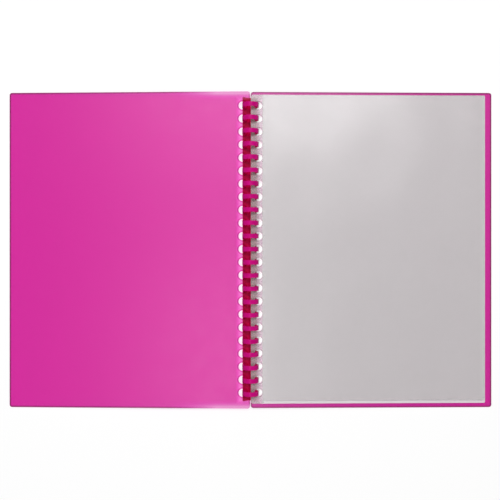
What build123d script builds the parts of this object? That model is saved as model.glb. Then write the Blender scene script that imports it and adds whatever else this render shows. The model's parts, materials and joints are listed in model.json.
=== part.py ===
"""A comb-bound display book of clear pockets, lying open at its first pocket.

Frame: the origin is on the table below the middle of the spine, +X points to the right-hand leaves,
+Y to the top of the pages and +Z up. All sizes are in millimetres.

The front cover lies open on the left. On the right the clear pockets lie on the back cover. A one-piece
plastic comb runs along the spine: a strip under the leaves carries a row of curled fingers, which go up
through the front cover's holes, over the spine, and down through the holes of the pockets and the back
cover. Every leaf turns about the axis of the comb.
"""

from build123d import *
import math
import os

# Sheet of paper that each pocket takes
sheet_width = 210.0
sheet_height = 297.0
sheet_side_play = 3.5
sheet_top_play = 0.5

# Clear pockets, each two films welded together along three sides and open at the top
pocket_count = 20
film_thickness = 0.07
weld_width = 2.5
binding_margin = 13.0
pocket_corner_radius = 1.2

# Covers, which stand out past the pockets
cover_thickness = 0.7
cover_side_border = 7.7
cover_top_border = 3.4
cover_bottom_border = 5.1
cover_corner_radius = 2.5

# Near edges of every leaf, inside the comb
spine_gap = 0.4
near_corner_radius = 2.5

# Comb: a strip with curled fingers
comb_outer_radius = 8.0
comb_wall = 0.8
finger_width = 4.3
finger_root_radius = 1.0
fingertip_overlap = 2.5
strip_end_length = 8.8
strip_corner_radius = 2.0

# Binding holes, on the pitch of the comb's fingers
hole_pitch = 12.7
hole_end_margin = 8.0
hole_clearance = 0.5

# How the leaves sit in the comb
front_cover_drop = 0.9
leaf_gap = 0.04
closing_gap = 0.2
front_rest_gap = 0.3
back_rest_gap = 0.7
fingertip_gap = 0.15

# Outlines of the pockets and the covers
pocket_reach = binding_margin + sheet_width + sheet_side_play + weld_width
pocket_height = weld_width + sheet_height + sheet_top_play
cover_reach = pocket_reach + cover_side_border
cover_height = pocket_height + cover_top_border + cover_bottom_border
pocket_middle = (cover_bottom_border - cover_top_border) / 2

# The holes run along the middle of the pockets
hole_count = int((pocket_height - 2 * hole_end_margin) // hole_pitch) + 1
hole_places = [pocket_middle + hole_pitch * (n - (hole_count - 1) / 2) for n in range(hole_count)]

# The comb lies on the table, and its axis is the hinge of every leaf
axis_height = comb_outer_radius
comb_inner_radius = comb_outer_radius - comb_wall
ring_radius = comb_outer_radius - comb_wall / 2

# Heights of the leaves' faces above the comb's axis, measured square to the leaves
front_cover_underside = -front_cover_drop - cover_thickness / 2
stack_top = front_cover_drop - cover_thickness / 2 - closing_gap
pocket_pitch = 2 * film_thickness + leaf_gap
back_cover_top = stack_top - pocket_count * pocket_pitch
back_cover_underside = back_cover_top - cover_thickness


def resting_tilt(underside):
    """Degrees that a cover leans about the comb's axis so that its far edge lies on the table."""
    slant = math.asin(axis_height / math.hypot(cover_reach, underside))
    return math.degrees(slant + math.atan2(underside, cover_reach))


front_tilt = resting_tilt(front_cover_underside)
back_tilt = resting_tilt(back_cover_underside)


def strip_edge_below(underside, gap, tilt):
    """Degrees below the horizontal at which the strip ends, just under a cover's margin."""
    return math.degrees(math.asin((gap - underside) / comb_inner_radius)) + tilt


strip_left_edge = 180 + strip_edge_below(front_cover_underside, front_rest_gap, front_tilt)
strip_right_edge = -strip_edge_below(back_cover_underside, back_rest_gap, back_tilt)

# On the right the fingers curl in on a smaller circle, and their tips tuck in behind the strip's edge
tuck_radius = comb_inner_radius - fingertip_gap
tuck_angle = math.radians(-strip_right_edge)
curl_centre = (comb_outer_radius**2 - tuck_radius**2) / (
    2 * (comb_outer_radius - tuck_radius * math.cos(tuck_angle))
)
curl_radius = ring_radius - curl_centre
curl_outer_radius = curl_radius + comb_wall / 2
curl_inner_radius = curl_radius - comb_wall / 2
curl_to_strip = math.asin(tuck_radius * math.sin(tuck_angle) / curl_outer_radius)
curl_end = -math.degrees(curl_to_strip + fingertip_overlap / curl_radius)

# The holes clear the fingers where they lean in the most, at the underside of the back cover
curl_lift = curl_centre * math.sin(math.radians(back_tilt))
finger_depth = curl_lift - back_cover_underside
finger_nearest = curl_centre + math.sqrt(curl_inner_radius**2 - finger_depth**2)
hole_radius = math.hypot(finger_width / 2, ring_radius - finger_nearest) + hole_clearance


def leaf(reach, height, middle, thickness, far_radius):
    """A flat right-hand leaf with its row of binding holes, its underside on the axis plane."""
    width = reach - spine_gap
    outline = Pos(spine_gap + width / 2, middle) * Rectangle(width, height)
    outline = fillet(outline.vertices().group_by(Axis.X)[0], near_corner_radius)
    outline = fillet(outline.vertices().group_by(Axis.X)[-1], far_radius)
    holes = [Pos(ring_radius, y) * Circle(hole_radius) for y in hole_places]
    return extrude(outline - holes, thickness)


def seated(solid, underside, tilt):
    """A leaf moved to its height off the comb's axis and leaned to the table."""
    return Pos(0, 0, axis_height) * Rot(0, tilt, 0) * Pos(0, 0, underside) * solid


cover_board = leaf(cover_reach, cover_height, 0, cover_thickness, cover_corner_radius)
film = leaf(pocket_reach, pocket_height, pocket_middle, film_thickness, pocket_corner_radius)


def front_cover():
    """The left-hand cover: the same board as the back cover, turned over to the left."""
    return seated(mirror(cover_board, Plane.YZ), front_cover_underside, -front_tilt)


def back_cover():
    return seated(cover_board, back_cover_underside, back_tilt)


def pocket_films(place):
    """The front and the back film of one pocket, counted from the first pocket of the book."""
    back_film_underside = stack_top - place * pocket_pitch - 2 * film_thickness
    back_film = seated(film, back_film_underside, back_tilt)
    front_film = seated(film, back_film_underside + film_thickness, back_tilt)
    return front_film, back_film


def arc_band(centre, inner_radius, outer_radius, start, end):
    """A curved strip of even wall, seen along the spine."""
    outer = CenterArc((centre, 0), outer_radius, start, end - start)
    inner = CenterArc((centre, 0), inner_radius, start, end - start)
    return make_face([outer, inner, Line(outer @ 0, inner @ 0), Line(outer @ 1, inner @ 1)])


def along_spine(section, length):
    """A section extruded along the spine, half of its length each way."""
    return extrude(Plane.XZ * section, length / 2, both=True)


def comb_strip():
    """The solid strip under the leaves, a little longer than its row of fingers."""
    length = hole_places[-1] - hole_places[0] + 2 * strip_end_length
    section = arc_band(0, comb_inner_radius, comb_outer_radius, strip_left_edge, 360 + strip_right_edge)
    return Pos(0, pocket_middle, 0) * along_spine(section, length)


def comb_finger():
    """One curled finger, from the strip's left edge over the spine to its tip behind the strip."""
    arch = arc_band(0, comb_inner_radius, comb_outer_radius, 0, strip_left_edge)
    curl = arc_band(curl_centre, curl_inner_radius, curl_outer_radius, curl_end, 0)
    return along_spine(arch + curl, finger_width)


def cross_edges(solid):
    """The straight edges that run across the spine, in rows along it."""
    return solid.edges().filter_by(GeomType.LINE).filter_by(Axis.Y, reverse=True).group_by(Axis.Y)


def comb():
    """The whole comb, one moulding, with round corners at the fingers' roots and the strip's ends."""
    fingers = [Pos(0, y, 0) * comb_finger() for y in hole_places]
    solid = comb_strip() + fingers
    roots = [edge for row in cross_edges(solid)[1:-1] for edge in row if edge.center().X < 0]
    solid = fillet(roots, finger_root_radius)
    rows = cross_edges(solid)
    solid = fillet(rows[0] + rows[-1], strip_corner_radius)
    return Pos(0, 0, axis_height) * solid


def write(node, solid):
    export_step(solid, os.path.join("parts", node + ".step"))


os.makedirs("parts", exist_ok=True)
write("comb", comb())
write("front_cover", front_cover())
write("back_cover", back_cover())
for place in range(pocket_count):
    front_film, back_film = pocket_films(place)
    write(f"pocket_{place + 1:02d}_front_film", front_film)
    write(f"pocket_{place + 1:02d}_back_film", back_film)

print(f"covers {cover_reach:.2f} by {cover_height:.2f}, pockets {pocket_reach:.2f} by {pocket_height:.2f}")
print(f"{hole_count} holes of {2 * hole_radius:.2f} across, {ring_radius:.2f} from the spine's middle")
print(f"the covers lean {front_tilt:.4f} and {back_tilt:.4f} degrees")
print(f"the front cover closes through {180 - front_tilt - back_tilt:.4f} degrees")
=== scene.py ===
"""Looks of the open display book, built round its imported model.

Everything is in metres in the model's own frame: the origin is on the table below the middle of the spine,
+X points to the right-hand leaves, +Y to the top of the pages and +Z up. A leaf is made lying flat, with its
hinge line at x = 0 and its underside at z = 0, and is then set at its height and lean in the comb.
"""

import json
import math

import bpy
import numpy as np
from mathutils import Matrix, Vector
from mathutils.geometry import delaunay_2d_cdt

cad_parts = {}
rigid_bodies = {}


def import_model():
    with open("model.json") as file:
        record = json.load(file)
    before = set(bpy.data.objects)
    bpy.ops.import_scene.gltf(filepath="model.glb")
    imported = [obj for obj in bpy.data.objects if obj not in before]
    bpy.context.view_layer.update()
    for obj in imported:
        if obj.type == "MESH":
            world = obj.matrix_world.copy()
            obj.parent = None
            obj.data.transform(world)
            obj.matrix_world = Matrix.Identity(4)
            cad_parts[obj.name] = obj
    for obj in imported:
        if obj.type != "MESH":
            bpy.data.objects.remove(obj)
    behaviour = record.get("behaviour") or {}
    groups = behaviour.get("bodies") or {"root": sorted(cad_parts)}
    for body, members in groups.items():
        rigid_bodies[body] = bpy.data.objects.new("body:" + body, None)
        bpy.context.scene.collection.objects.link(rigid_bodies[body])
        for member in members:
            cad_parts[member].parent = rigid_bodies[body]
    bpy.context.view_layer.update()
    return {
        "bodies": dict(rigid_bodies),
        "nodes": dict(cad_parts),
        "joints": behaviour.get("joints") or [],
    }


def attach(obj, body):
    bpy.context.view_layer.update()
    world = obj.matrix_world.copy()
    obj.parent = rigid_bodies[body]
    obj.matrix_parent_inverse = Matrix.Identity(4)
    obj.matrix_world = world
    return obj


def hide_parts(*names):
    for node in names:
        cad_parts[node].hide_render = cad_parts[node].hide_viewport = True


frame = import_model()
pockets = sorted(body for body in frame["bodies"] if body.startswith("pocket_"))
mm = 0.001

# Leaves, as they are cut
spine_gap = 0.4 * mm
near_corner_radius = 2.5 * mm
cover_reach = 236.7 * mm
cover_height = 308.5 * mm
cover_thickness = 0.7 * mm
cover_corner_radius = 2.5 * mm
pocket_reach = 229.0 * mm
pocket_height = 300.0 * mm
pocket_middle = 0.85 * mm
pocket_corner_radius = 1.2 * mm
pocket_thickness = 0.14 * mm
pocket_low = pocket_middle - pocket_height / 2
pocket_high = pocket_middle + pocket_height / 2

# Outlines of the leaves: reach, height, middle of the height and radius of the far corners
cover_shape = (cover_reach, cover_height, 0, cover_corner_radius)
pocket_shape = (pocket_reach, pocket_height, pocket_middle, pocket_corner_radius)

# Binding holes
hole_count = 23
hole_pitch = 12.7 * mm
hole_radius = 4.01 * mm
hole_line = 7.6 * mm
hole_places = [pocket_middle + hole_pitch * (n - (hole_count - 1) / 2) for n in range(hole_count)]

# Heights of the leaves' faces above the comb's axis, and the axis above the table
axis_height = frame["joints"][0]["pos_m"][2]
stack_top = 0.35 * mm
pocket_pitch = 0.18 * mm
front_cover_underside = -1.25 * mm
back_cover_underside = -3.95 * mm

# Wall of the comb's tube, from its axis
comb_outer_radius = 8.0 * mm
comb_inner_radius = 7.2 * mm

# Cut edges of the covers: rounded off, and deeper in colour in a narrow band, painted shade for the dark line
# that refraction at the cut edge and the contact shadow under it make
cut_rounding = 0.2 * mm
cut_first_inset = 0.06 * mm
edge_shade_band = 1.4 * mm

# Welds of a pocket: a band along its outer and lower edges and a line at the binding margin
binding_margin = 13.0 * mm
weld_width = 2.5 * mm
weld_line_width = 1.2 * mm
weld_slope = 0.4 * mm
weld_depth = 0.02 * mm
weld_line_stop = 0.3 * mm
least_weld_share = 0.3
pale_foot = 2.1 * mm
panel_far = pocket_reach - weld_width
panel_low = pocket_low + weld_width

# Waves of a pocket's loose film, and how far from the welds they reach their full height
wave_height = 0.5 * mm
wave_rise = 30 * mm
wave_across, wave_across_bend, wave_across_swing = 11 * mm, 23 * mm, 1.2
wave_along, wave_along_bend, wave_along_swing = 13 * mm, 27 * mm, 1.4
wave_along_start = 0.5
wave_swell, wave_sag = 0.3, 0.4

# Bands along the spine: painted light makes a cover paler there, for light that gets in under its raised
# spine edge, with most haze and gloss painted away in the comb's shade, and painted shade darkens the
# pockets' margins inside the comb
spine_light_band = 14.5 * mm
margin_shade = 10.0 * mm
band_fade = 4.0 * mm
band_half_length = 150.0 * mm

# Pale ends of the front cover's edges, beside the spine, where light gets in under the raised cover
end_band = 7.2 * mm
end_fade = 5.2 * mm
end_reach = 78.0 * mm
end_reach_fade = 45.0 * mm

# Fineness of the meshes
cover_step = 12 * mm
pocket_step = 8 * mm
grid_clearance = 0.4
corner_parts = 6
hole_sides = 32
least_corner_radius = 0.2 * mm
merge_distance = 1e-8
hull_triangles = 0
sharp_angle = math.radians(50)

# Unevenness of the surfaces, in waves to the metre, and for a grain also its height
haze_waves = 25
gloss_waves = 60
comb_tone_waves = 120
comb_gloss_waves = 400
cover_grain = (1500, 0.02 * mm)
comb_grain = (2500, 0.01 * mm)
noise_detail = 2
noise_low, noise_high = 0.3, 0.7

# Material slots of a cover and of a pocket, in the order of their materials
board_slot, cut_slot = range(2)
film_slot, weld_slot, margin_slot, foot_slot, edge_slot = range(5)

# Floor, and its lift to white near the book and far from it
floor_half = 4.0
floor_drop = 0.1 * mm
near_floor, near_lift = 0.35, 0.52
far_floor, far_lift = 2.2, 0.87

# Strips of painted light on the floor under the rows of holes: the middle of each and what it adds to the
# lift
hole_strips = ((12.5 * mm, 0.3), (-10 * mm, 0.12))
strip_half_width = 4.5 * mm
strip_fade = 2.0 * mm

# Soft light of the world, from the horizon and from straight above
horizon_light, zenith_light = 0.05, 0.35

# Camera above the table
camera_height = 645 * mm
camera_side = -0.45 * mm
view_width = 491.5 * mm
sensor_width = 36


def resting_tilt(underside):
    """The angle that a cover leans about the comb's axis so that its far edge lies on the table."""
    slant = math.asin(axis_height / math.hypot(cover_reach, underside))
    return slant + math.atan2(underside, cover_reach)


front_tilt = resting_tilt(front_cover_underside)
back_tilt = resting_tilt(back_cover_underside)


def seat(underside, tilt):
    """The place of a leaf in the comb."""
    at_axis = Matrix.Translation((0, 0, axis_height))
    return at_axis @ Matrix.Rotation(tilt, 4, "Y") @ Matrix.Translation((0, 0, underside))


# Leaf meshes


def between(start, end, step):
    """Points along a straight line, about a step apart, without its two ends."""
    start, end = np.array(start), np.array(end)
    parts = max(1, round(np.linalg.norm(end - start) / step))
    return [tuple(start + (end - start) * k / parts) for k in range(1, parts)]


def rounded_outline(shape, inset, step):
    """Points round a leaf's outline, set in from it, counter-clockwise and about a step apart."""
    reach, height, middle, far_radius = shape
    low = middle - height / 2 + inset
    high = middle + height / 2 - inset
    near = spine_gap + inset
    far = reach - inset
    far_arc = max(far_radius - inset, least_corner_radius)
    near_arc = max(near_corner_radius - inset, least_corner_radius)
    corners = [
        (far - far_arc, low + far_arc, far_arc, -90),
        (far - far_arc, high - far_arc, far_arc, 0),
        (near + near_arc, high - near_arc, near_arc, 90),
        (near + near_arc, low + near_arc, near_arc, 180),
    ]
    bends = []
    for x, y, radius, start in corners:
        turns = [math.radians(start + 90 * k / corner_parts) for k in range(corner_parts + 1)]
        bends.append([(x + radius * math.cos(a), y + radius * math.sin(a)) for a in turns])
    points = []
    for bend, following in zip(bends, bends[1:] + bends[:1]):
        points += bend + between(bend[-1], following[0], step)
    return points


def hole_outline(y, radius):
    """Points round a hole of the row."""
    turns = [2 * math.pi * k / hole_sides for k in range(hole_sides)]
    return [(hole_line + radius * math.cos(a), y + radius * math.sin(a)) for a in turns]


def from_hole(points):
    """The distance of each point from the middle of its nearest hole."""
    nearest = np.clip(np.round((points[:, 1] - hole_places[0]) / hole_pitch), 0, hole_count - 1)
    return np.hypot(points[:, 0] - hole_line, points[:, 1] - hole_places[0] - nearest * hole_pitch)


def inside_outline(points, shape):
    """How far each point lies inside a leaf's outline."""
    reach, height, middle, far_radius = shape
    centre = np.array([(spine_gap + reach) / 2, middle])
    half = np.array([(reach - spine_gap) / 2, height / 2])
    radius = np.where(points[:, 0] > centre[0], far_radius, near_corner_radius)[:, None]
    past = np.abs(points - centre) - half + radius
    outside = np.hypot(*np.maximum(past, 0).T) + np.minimum(past.max(1), 0)
    return radius[:, 0] - outside


def from_edge(points, shape):
    """How far each point lies inside the nearest edge of a leaf, at its outline or at a hole."""
    return np.minimum(inside_outline(points, shape), from_hole(points) - hole_radius)


def flat_leaf(shape, insets, lines, step):
    """A leaf seen from above: its points and its triangles.

    Triangles meet along the outline and the holes, set in by each inset, and along each of the lines.
    """
    loops = []
    for inset in insets:
        loops.append(rounded_outline(shape, inset, step))
        loops += [hole_outline(y, hole_radius + inset) for y in hole_places]
    points = []
    edges = []
    for loop in loops:
        first = len(points)
        points += loop
        edges += [(first + k, first + (k + 1) % len(loop)) for k in range(len(loop))]
    for corners in lines:
        path = [corners[0]]
        for start, end in zip(corners, corners[1:]):
            path += between(start, end, step) + [end]
        edges += [(len(points) + k, len(points) + k + 1) for k in range(len(path) - 1)]
        points += path
    reach, height, middle, _ = shape
    across = np.arange(spine_gap, reach, step)
    along = np.arange(middle - height / 2, middle + height / 2, step)
    grid = np.array([(x, y) for x in across for y in along])
    clear = from_edge(grid, shape) > insets[-1] + grid_clearance * step
    points += [tuple(point) for point in grid[clear]]
    corners = [Vector(point) for point in points]
    found = delaunay_2d_cdt(corners, edges, [], hull_triangles, merge_distance)
    points = np.array([tuple(point) for point in found[0]])
    triangles = np.array(found[2])
    in_hole = from_hole(points[triangles].mean(1)) < hole_radius * math.cos(math.pi / hole_sides)
    return points, triangles[~in_hole]


def closed_sheet(name, points, triangles, top, bottom, slots, rim_slot):
    """A closed sheet between the heights of its top and its bottom at each point."""
    count = len(points)
    upper = np.column_stack([points, top])
    lower = np.column_stack([points, bottom])
    sides = {(int(t[k]), int(t[(k + 1) % 3])) for t in triangles for k in range(3)}
    rim = [(b, a, a + count, b + count) for a, b in sides if (b, a) not in sides]
    faces = triangles.tolist() + (triangles[:, ::-1] + count).tolist() + sorted(rim)
    face_slots = np.concatenate([slots, slots, np.full(len(rim), rim_slot)])
    mesh = bpy.data.meshes.new(name)
    mesh.from_pydata(np.vstack([upper, lower]).tolist(), [], faces)
    mesh.polygons.foreach_set("material_index", face_slots)
    mesh.shade_smooth()
    mesh.set_sharp_from_angle(angle=sharp_angle)
    return mesh


def add_object(name, data):
    """A new object in the scene."""
    thing = bpy.data.objects.new(name, data)
    bpy.context.scene.collection.objects.link(thing)
    return thing


def add_piece(name, mesh, place, materials, body, slot, *nodes):
    """A piece in its place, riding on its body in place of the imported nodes."""
    for material in materials:
        mesh.materials.append(material)
    piece = add_object(name, mesh)
    piece.matrix_world = place
    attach(piece, body)
    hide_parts(*nodes)


# Values and shares in a node tree


def add_node(tree, kind, inputs=(), **settings):
    """A node with its settings, its plain inputs and its links in place."""
    node = tree.nodes.new(kind)
    for key, value in settings.items():
        setattr(node, key, value)
    for key, value in dict(inputs).items():
        if isinstance(value, bpy.types.NodeSocket):
            tree.links.new(value, node.inputs[key])
        else:
            node.inputs[key].default_value = value
    return node


def place_of(tree):
    """The place of a point, in the frame of its own object."""
    return add_node(tree, "ShaderNodeTexCoord").outputs["Object"]


def axes_of(tree, vector):
    """The three values of a vector."""
    return add_node(tree, "ShaderNodeSeparateXYZ", {"Vector": vector}).outputs


def length_of(tree, vector):
    """The length of a vector."""
    return add_node(tree, "ShaderNodeVectorMath", {0: vector}, operation="LENGTH").outputs["Value"]


def calculated(tree, operation, *values):
    """The result of one calculation on values of the node tree."""
    return add_node(tree, "ShaderNodeMath", enumerate(values), operation=operation).outputs["Value"]


def ramp(tree, value, start, end):
    """A share that goes from 0 to 1 as a value goes from start to end."""
    inputs = {"Value": value, "From Min": start, "From Max": end}
    return add_node(tree, "ShaderNodeMapRange", inputs).outputs["Result"]


def noise(tree, scale):
    """Soft noise over the piece, with so many waves to the metre."""
    inputs = {"Vector": place_of(tree), "Scale": scale, "Detail": noise_detail}
    return add_node(tree, "ShaderNodeTexNoise", inputs).outputs["Fac"]


def varied(tree, scale, low, high):
    """A value that wanders between two limits over the piece."""
    limits = {"From Min": noise_low, "From Max": noise_high, "To Min": low, "To Max": high}
    inputs = {"Value": noise(tree, scale), **limits}
    return add_node(tree, "ShaderNodeMapRange", inputs).outputs["Result"]


def grain(tree, scale, height):
    """A fine grain in the surface, as a bumped normal."""
    inputs = {"Height": noise(tree, scale), "Strength": 1.0, "Distance": height}
    return add_node(tree, "ShaderNodeBump", inputs).outputs["Normal"]


def faded(tree, value, share, loss):
    """A value that falls by a part of itself where the share is 1."""
    return calculated(tree, "MULTIPLY", value, calculated(tree, "MULTIPLY_ADD", share, -loss, 1.0))


def mixed(tree, share, plain, other):
    """A colour that goes over to another one where the share is 1."""
    inputs = {"Factor": share, "A": plain, "B": other}
    return add_node(tree, "ShaderNodeMix", inputs, data_type="RGBA").outputs["Result"]


def mixed_shader(tree, share, plain, other):
    """A shader that goes over to another one where the share is 1."""
    return add_node(tree, "ShaderNodeMixShader", {0: share, 1: plain, 2: other}).outputs["Shader"]


def from_middle(tree):
    """How far a point of the piece lies from the middle of the spine, across it and along it."""
    axes = axes_of(tree, place_of(tree))
    return calculated(tree, "ABSOLUTE", axes["X"]), calculated(tree, "ABSOLUTE", axes["Y"])


def spine_share(tree, reach):
    """1 in a band along the spine, fading to 0 at its reach and past the ends of the row of holes."""
    across, along = from_middle(tree)
    past_ends = calculated(tree, "SUBTRACT", along, band_half_length - reach)
    return ramp(tree, calculated(tree, "MAXIMUM", across, past_ends), reach, reach - band_fade)


def spine_light_share(tree):
    """The band of painted light along a cover's spine."""
    return spine_share(tree, spine_light_band)


def margin_shade_share(tree):
    """The band of painted shade on a pocket's binding margin inside the comb."""
    return spine_share(tree, margin_shade)


def end_share(tree):
    """1 at a cover's top and lower edges beside the spine, fading to 0 inwards and away from the spine."""
    across, along = from_middle(tree)
    start = cover_height / 2 - end_band
    at_edge = ramp(tree, along, start, start + end_fade)
    by_spine = ramp(tree, across, end_reach, end_reach - end_reach_fade)
    return calculated(tree, "MULTIPLY", at_edge, by_spine)


def tube_bounce_share(tree):
    """1 on the inside of the comb's wall, falling to 0 on its outside: where the comb's painted bounce light
    goes.
    """
    across = {0: place_of(tree), 1: (1, 0, 1), 2: (0, 0, -axis_height)}
    off_axis = add_node(tree, "ShaderNodeVectorMath", across, operation="MULTIPLY_ADD").outputs["Vector"]
    return ramp(tree, length_of(tree, off_axis), comb_outer_radius, comb_inner_radius)


def seen_rays(tree):
    """1 for rays that show the surroundings to the eye, straight or in gloss and clear plastic, else 0."""
    rays = add_node(tree, "ShaderNodeLightPath").outputs
    straight_or_gloss = calculated(tree, "MAXIMUM", rays["Is Camera Ray"], rays["Is Glossy Ray"])
    return calculated(tree, "MAXIMUM", straight_or_gloss, rays["Is Transmission Ray"])


# Materials


def new_material(name):
    """A node material with its tree and its shader."""
    material = bpy.data.materials.new(name)
    material.use_nodes = True
    tree = material.node_tree
    return material, tree, tree.nodes["Principled BSDF"]


def clear_plastic(name, tint, haze, haze_share, roughness, index, normal=None, bands=()):
    """One face of clear plastic: most light goes straight through, some scatters in its haze, some is gloss.

    Each band by the spine has its own share, tint and haze, and loses a part of its haze and gloss.
    """
    material, tree, shader = new_material(name)
    tree.nodes.remove(shader)
    tint = (*tint, 1)
    haze = (*haze, 1)
    hazy = varied(tree, haze_waves, *haze_share)
    shine = add_node(tree, "ShaderNodeFresnel", {"IOR": index}).outputs["Fac"]
    for band in bands:
        share = band["share"](tree)
        hazy = faded(tree, hazy, share, band["loss"])
        shine = faded(tree, shine, share, band["loss"])
        tint = mixed(tree, share, tint, (*band["tint"], 1))
        haze = mixed(tree, share, haze, (*band["haze"], 1))
    bump = {"Normal": grain(tree, *normal)} if normal else {}
    rough = varied(tree, gloss_waves, *roughness)
    through = add_node(tree, "ShaderNodeBsdfTransparent", {"Color": tint}).outputs["BSDF"]
    scatter = add_node(tree, "ShaderNodeBsdfDiffuse", {"Color": haze, **bump}).outputs["BSDF"]
    gloss = add_node(tree, "ShaderNodeBsdfGlossy", {"Roughness": rough, **bump}).outputs["BSDF"]
    inside = mixed_shader(tree, hazy, through, scatter)
    skin = mixed_shader(tree, shine, inside, gloss)
    tree.links.new(skin, tree.nodes["Material Output"].inputs["Surface"])
    return material


def cover_materials(cover, board_tint, edge_shade_tint, pale_ends):
    """Translucent pink board of one cover, and the same a little deeper in a band along its cut edges, as
    painted shade.

    Along the spine both are painted paler, for the light that gets in under the raised spine edge, and lose
    most haze and gloss, as painted shade from the comb; a cover may have painted pale ends, where light gets
    in under its raised top and lower edges.
    """
    haze = (0.75, 0.05, 0.45)
    surface = {"roughness": (0.345, 0.375), "index": 1.4, "normal": cover_grain}
    # Painted light and shade: bands with a paler tint that lose most of their haze and gloss
    painted_pale = {"haze": haze, "loss": 0.95}
    ends = [{**painted_pale, "share": end_share, "tint": (0.915, 0.62, 0.82)}] if pale_ends else []
    board_bands = [{**painted_pale, "share": spine_light_share, "tint": (0.936, 0.505, 0.815)}] + ends
    cut_bands = [{**painted_pale, "share": spine_light_share, "tint": (0.89, 0.34, 0.71)}] + ends
    board = clear_plastic(f"{cover}_board", board_tint, haze, (0.046, 0.054), **surface, bands=board_bands)
    cut = clear_plastic(f"{cover}_edge", edge_shade_tint, haze, (0.06, 0.08), **surface, bands=cut_bands)
    return board, cut


def film_materials():
    """Clear film with a slight haze, its weld, the clearer binding margin with its haze painted darker as
    shade inside the comb, the pale foot and the cut edge.
    """
    clear = (1, 1, 1)
    haze = (0.876, 0.834, 0.85)
    # Painted shade: the margin's haze is darker inside the comb
    margin_shade_band = {"share": margin_shade_share, "tint": clear, "haze": (0.6, 0.48, 0.5), "loss": 0.0}
    film = clear_plastic("clear_film", clear, haze, (0.1, 0.12), (0.285, 0.315), 1.25)
    weld = clear_plastic("film_weld", clear, (0.88, 0.86, 0.865), (0.16, 0.2), (0.3, 0.4), 1.25)
    margin = clear_plastic("film_margin", clear, haze, (0.035, 0.045), (0.26, 0.34), 1.1, bands=[margin_shade_band])
    foot = clear_plastic("film_foot", clear, (0.97, 0.905, 0.935), (0.45, 0.55), (0.3, 0.4), 1.3)
    edge = clear_plastic("film_edge", clear, (0.93, 0.89, 0.9), (0.8, 0.9), (0.3, 0.4), 1.3)
    return film, weld, margin, foot, edge


def comb_material():
    """Glossy magenta plastic, with a redder, brighter colour painted inside the tube for light that bounces
    round in it and shines through its wall.
    """
    material, tree, shader = new_material("comb_plastic")
    dark, light = (0.51, 0.003, 0.17, 1), (0.6, 0.005, 0.21, 1)
    # Painted light: the colour inside the tube, for light bouncing round in it
    bounce_red = (0.73, 0.002, 0.15, 1)
    tone = mixed(tree, varied(tree, comb_tone_waves, 0, 1), dark, light)
    tone = mixed(tree, tube_bounce_share(tree), tone, bounce_red)
    tree.links.new(tone, shader.inputs["Base Color"])
    tree.links.new(varied(tree, comb_gloss_waves, 0.25, 0.36), shader.inputs["Roughness"])
    tree.links.new(grain(tree, *comb_grain), shader.inputs["Normal"])
    shader.inputs["Specular IOR Level"].default_value = 0.12
    shader.inputs["Specular Tint"].default_value = (1, 0.25, 0.5, 1)
    return material


def floor_material():
    """A pale matt surface, lifted to white where it is seen, which keeps the object's shadow."""
    material, tree, shader = new_material("floor")
    shader.inputs["Base Color"].default_value = (0.52, 0.52, 0.52, 1)
    shader.inputs["Roughness"].default_value = 0.9
    shader.inputs["Specular IOR Level"].default_value = 0.0
    shader.inputs["Emission Color"].default_value = (1, 1, 1, 1)
    tree.links.new(floor_lift(tree), shader.inputs["Emission Strength"])
    return material


def floor_lift(tree):
    """How strongly the floor is lifted to white.

    It is lifted more far from the lamps, so that it stays white to the horizon, and in two strips under
    the rows of holes, painted light that takes out most of the book's shadow seen through them.
    """
    place = place_of(tree)
    limits = {"From Min": near_floor, "From Max": far_floor, "To Min": near_lift, "To Max": far_lift}
    inputs = {"Value": length_of(tree, place), **limits}
    glow = add_node(tree, "ShaderNodeMapRange", inputs, interpolation_type="SMOOTHSTEP").outputs["Result"]
    axes = axes_of(tree, place)
    along = calculated(tree, "ABSOLUTE", axes["Y"])
    under_row = ramp(tree, along, band_half_length + strip_fade, band_half_length - strip_fade)
    # Painted light in the strips takes out the book's shadow seen through the holes
    for middle, more in hole_strips:
        off_middle = calculated(tree, "ABSOLUTE", calculated(tree, "SUBTRACT", axes["X"], middle))
        across_strip = ramp(tree, off_middle, strip_half_width, strip_half_width - strip_fade)
        strip = calculated(tree, "MULTIPLY", under_row, across_strip)
        glow = calculated(tree, "MULTIPLY_ADD", strip, more, glow)
    return calculated(tree, "MULTIPLY", seen_rays(tree), glow)


# Pieces


def add_covers():
    """The back cover under the pockets, and the front cover turned over to the left."""
    insets = [0, cut_first_inset, cut_rounding, edge_shade_band]
    points, triangles = flat_leaf(cover_shape, insets, [], cover_step)
    edge = np.maximum(from_edge(points, cover_shape), 0)
    short = np.maximum(cut_rounding - edge, 0)
    drop = cut_rounding - np.sqrt(cut_rounding**2 - short**2)
    top = cover_thickness - drop
    just_inside = 0.95 * edge_shade_band
    # Faces in the narrow band along the edges take the deeper tint, painted shade for the dark line at the
    # cut edge
    slots = np.where(edge[triangles].mean(1) < just_inside, cut_slot, board_slot)
    front = cover_materials("front", (0.856, 0.105, 0.66), (0.62, 0.07, 0.45), pale_ends=True)
    # The back cover is the same plastic with a deeper tint, painted shade for the pocket stack's shadow on
    # its rims
    back = cover_materials("back", (0.82, 0.11, 0.622), (0.6, 0.075, 0.43), pale_ends=False)
    right = closed_sheet("back_board", points, triangles, top, drop, slots, cut_slot)
    right_seat = seat(back_cover_underside, back_tilt)
    add_piece("back_board", right, right_seat, back, "back_cover", "cover_board", "back_cover")
    left = closed_sheet("front_board", points * (-1, 1), triangles[:, ::-1], top, drop, slots, cut_slot)
    left_seat = seat(front_cover_underside, -front_tilt)
    add_piece("front_board", left, left_seat, front, "front_cover", "cover_board", "front_cover")


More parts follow.
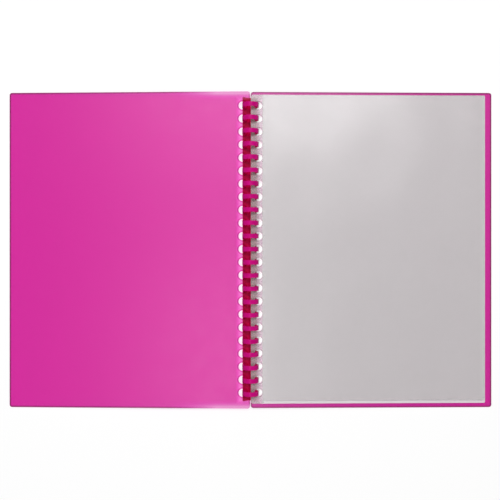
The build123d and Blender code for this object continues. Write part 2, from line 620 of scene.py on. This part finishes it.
def weld_lines():
    """The lines where a pocket's welds begin and reach full depth, and where its pale foot ends."""
    lines = []
    mouth = pocket_high - weld_line_stop
    for out in (0, weld_slope):
        near, far, low = binding_margin - out, panel_far + out, panel_low - out
        lines.append([(near, mouth), (near, low), (far, low), (far, mouth)])
        line_start = binding_margin - weld_line_width + out
        lines.append([(line_start, mouth), (line_start, pocket_low + weld_line_stop)])
    foot_top = pocket_low + pale_foot
    lines.append([(binding_margin, foot_top), (pocket_reach - weld_line_stop, foot_top)])
    return lines


def weld_share(points):
    """How deep each point lies in a weld, from 0 to 1."""
    x, y = points.T
    past_panel = np.maximum(np.maximum(binding_margin - x, x - panel_far), panel_low - y)
    share = np.clip(past_panel / weld_slope, 0, 1)
    line_start = binding_margin - weld_line_width
    return share * np.clip((x - line_start) / weld_slope, 0, 1)


def film_waves(points):
    """Gentle waves of the loose film between the welds, from -1 to about 0.2.

    One set runs across the pocket and one along it, and both are bent.
    """
    x, y = points.T
    from_weld = np.minimum(np.minimum(x - binding_margin, panel_far - x), y - panel_low)
    rise = np.clip(from_weld / wave_rise, 0, 1)
    loose = rise**2 * (3 - 2 * rise)
    across = np.sin(x / wave_across + wave_across_swing * np.sin(y / wave_across_bend))
    along = np.sin(y / wave_along - wave_along_start + wave_along_swing * np.sin(x / wave_along_bend))
    return loose * (wave_swell * (across + along) - wave_sag)


def add_pockets():
    """The stack of pockets, each one closed piece. The waves are flatter lower in the stack."""
    points, triangles = flat_leaf(pocket_shape, [0], weld_lines(), pocket_step)
    middles = points[triangles].mean(1)
    across, along = middles.T
    slots = np.where(weld_share(middles) > least_weld_share, weld_slot, film_slot)
    slots[across < binding_margin - weld_line_width] = margin_slot
    slots[(across > binding_margin) & (along - pocket_low < pale_foot)] = foot_slot
    emboss = weld_depth * weld_share(points)
    wave = wave_height * film_waves(points)
    materials = film_materials()
    for place, body in enumerate(pockets):
        lift = wave * (1 - place / len(pockets))
        top = pocket_thickness - emboss + lift
        bottom = emboss + lift
        mesh = closed_sheet(body, points, triangles, top, bottom, slots, edge_slot)
        underside = stack_top - place * pocket_pitch - pocket_thickness
        nodes = (f"{body}_front_film", f"{body}_back_film")
        add_piece(f"{body}_films", mesh, seat(underside, back_tilt), materials, body, "clear_film", *nodes)


def dress_comb():
    """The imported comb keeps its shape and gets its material."""
    comb = frame["nodes"]["comb"]
    comb.data.materials.clear()
    comb.data.materials.append(comb_material())


# Surroundings


def add_floor():
    """A wide pale floor, just under the book."""
    mesh = bpy.data.meshes.new("floor")
    half = floor_half
    corners = [(-half, -half), (half, -half), (half, half), (-half, half)]
    mesh.from_pydata([(x, y, -floor_drop) for x, y in corners], [], [(0, 1, 2, 3)])
    mesh.materials.append(floor_material())
    add_object("floor", mesh)


def add_world():
    """Soft studio light, stronger from above, seen as plain white."""
    world = bpy.data.worlds.new("studio")
    bpy.context.scene.world = world
    world.use_nodes = True
    tree = world.node_tree
    direction = add_node(tree, "ShaderNodeTexCoord").outputs["Generated"]
    upward = axes_of(tree, direction)["Z"]
    inputs = {"Value": upward, "To Min": horizon_light, "To Max": zenith_light}
    glow = add_node(tree, "ShaderNodeMapRange", inputs)
    soft = tree.nodes["Background"]
    soft.inputs["Color"].default_value = (1, 1, 1, 1)
    tree.links.new(glow.outputs["Result"], soft.inputs["Strength"])
    white = add_node(tree, "ShaderNodeBackground", {"Color": (1, 1, 1, 1), "Strength": 1.0})
    shown = mixed_shader(tree, seen_rays(tree), soft.outputs["Background"], white.outputs["Background"])
    tree.links.new(shown, tree.nodes["World Output"].inputs["Surface"])


def add_lamp(name, place, size, watts):
    """An oblong lamp that shines straight down."""
    lamp = bpy.data.lights.new(name, "AREA")
    lamp.shape = "RECTANGLE"
    lamp.size, lamp.size_y = size
    lamp.energy = watts
    add_object(name, lamp).location = place


def add_camera():
    """The camera, straight above the book."""
    lens = bpy.data.cameras.new("camera")
    lens.sensor_width = sensor_width
    lens.lens = sensor_width * camera_height / view_width
    camera = add_object("camera", lens)
    camera.location = (camera_side, 0, camera_height)
    bpy.context.scene.camera = camera


scene = bpy.context.scene
scene.view_settings.view_transform = "Standard"

# Enough for light that goes through both faces of every leaf in the stack
scene.cycles.transparent_max_bounces = 96

add_covers()
add_pockets()
dress_comb()
add_floor()
add_world()

# A wide soft lamp above the top of the book and a long one above the left of its spine
add_lamp("top_lamp", place=(0.05, 0.72, 2.0), size=(1.2, 0.5), watts=23.5)
add_lamp("spine_lamp", place=(-0.2, -0.5, 2.0), size=(0.3, 1.0), watts=12.0)
add_camera()
